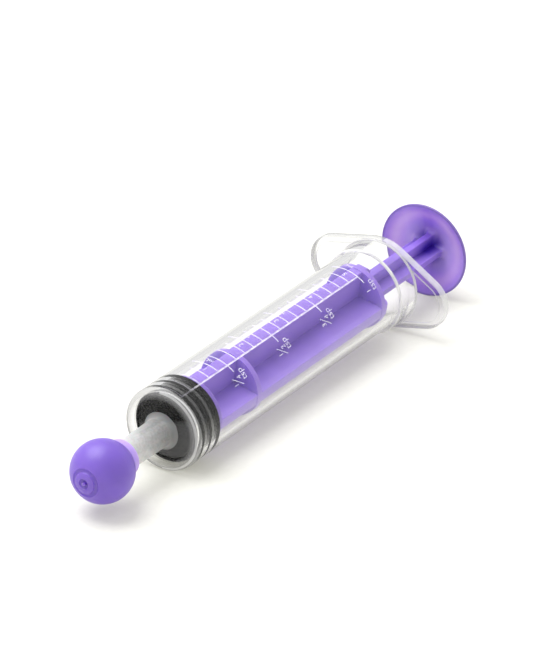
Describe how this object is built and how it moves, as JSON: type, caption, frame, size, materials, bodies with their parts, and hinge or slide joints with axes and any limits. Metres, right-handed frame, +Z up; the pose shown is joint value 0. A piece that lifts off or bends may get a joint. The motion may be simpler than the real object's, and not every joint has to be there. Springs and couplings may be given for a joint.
{
  "type": "oral_syringe",
  "caption": "Oral medicine syringe lying on its side: clear graduated barrel with finger flange, sliding ribbed stopper on a finned plunger rod with a thumb disc, and a ball-shaped tip cap.",
  "frame": {"origin": "centre of the bounding box on the surface that the syringe lies on; the thumb disc touches that surface", "axes": "+X along the barrel's axis towards the thumb disc, +Z up, +Y towards the flange wing that is turned up"},
  "size_m": [0.0966, 0.0252, 0.0157],
  "materials": {
    "clear_plastic": "gloss",
    "white_ink": "matte",
    "black_rubber": "satin",
    "purple_plastic": "satin"
  },
  "bodies": {
    "barrel_body": {"barrel": "clear_plastic", "scale_print": "white_ink"},
    "stopper_body": {"stopper": "black_rubber"},
    "rod_body": {"plunger_rod": "purple_plastic"},
    "cap_body": {"tip_cap": "purple_plastic"}
  },
  "joints": [
    {"name": "plunger_slide", "type": "slide", "parent": "barrel_body", "child": "stopper_body", "axis": [1, 0, 0], "range_m": [0, 0.05]},
    {"name": "rod_spin", "type": "hinge", "parent": "stopper_body", "child": "rod_body", "pos_m": [-0.0243, 0, 0.00785], "axis": [1, 0, 0], "continuous": true},
    {"name": "cap_pull", "type": "slide", "parent": "barrel_body", "child": "cap_body", "axis": [-1, 0, 0], "range_m": [0, 0.01]}
  ]
}
